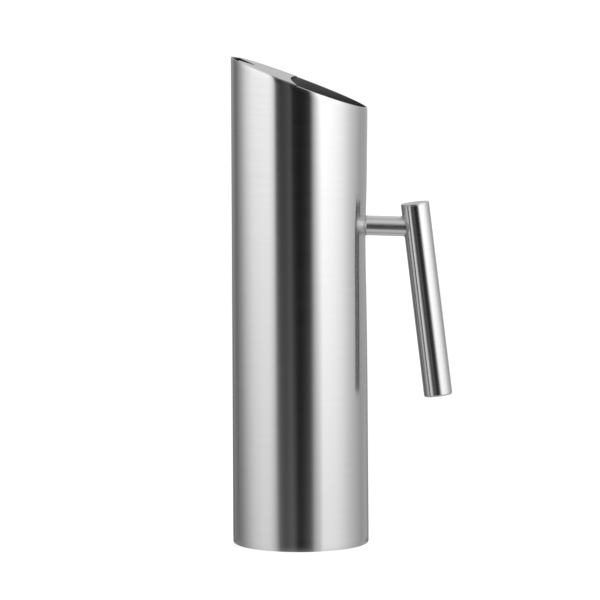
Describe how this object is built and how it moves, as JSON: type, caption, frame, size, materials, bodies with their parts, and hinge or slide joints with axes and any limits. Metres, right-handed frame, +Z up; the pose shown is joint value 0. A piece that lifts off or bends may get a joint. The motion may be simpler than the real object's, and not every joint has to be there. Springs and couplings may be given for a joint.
{
  "type": "water pitcher",
  "caption": "Tall cylindrical stainless water pitcher with a slanted pouring rim, an ice guard plate with a pouring slot, and a bar grip on a short stem.",
  "frame": {"origin": "on the axis of the round body, on the plane that the pitcher stands on", "axes": "+Z up along the body, +X from the body towards the grip (the spout's tip points to -X), +Y across; symmetric about the plane Y = 0"},
  "size_m": [0.1457, 0.09, 0.3233],
  "materials": {
    "brushed_shell": "satin, brushed round the body",
    "satin_guard": "fine satin, standing 0.45 mm proud of the rim",
    "brushed_handle": "satin, brushed round the bar",
    "weld_bead": "dressed weld, slightly darker and rougher than the sheet"
  },
  "bodies": {
    "root": {"body_shell": "brushed_shell", "base_pan": "brushed_shell", "base_seam_weld": "weld_bead", "ice_guard": "satin_guard", "guard_weld_left": "weld_bead", "guard_weld_right": "weld_bead", "handle_stem": "brushed_handle", "stem_root_weld": "weld_bead", "grip_joint_weld": "weld_bead", "grip_tube": "brushed_handle", "grip_top_cap": "brushed_handle", "grip_bottom_cap": "brushed_handle"}
  },
  "joints": []
}
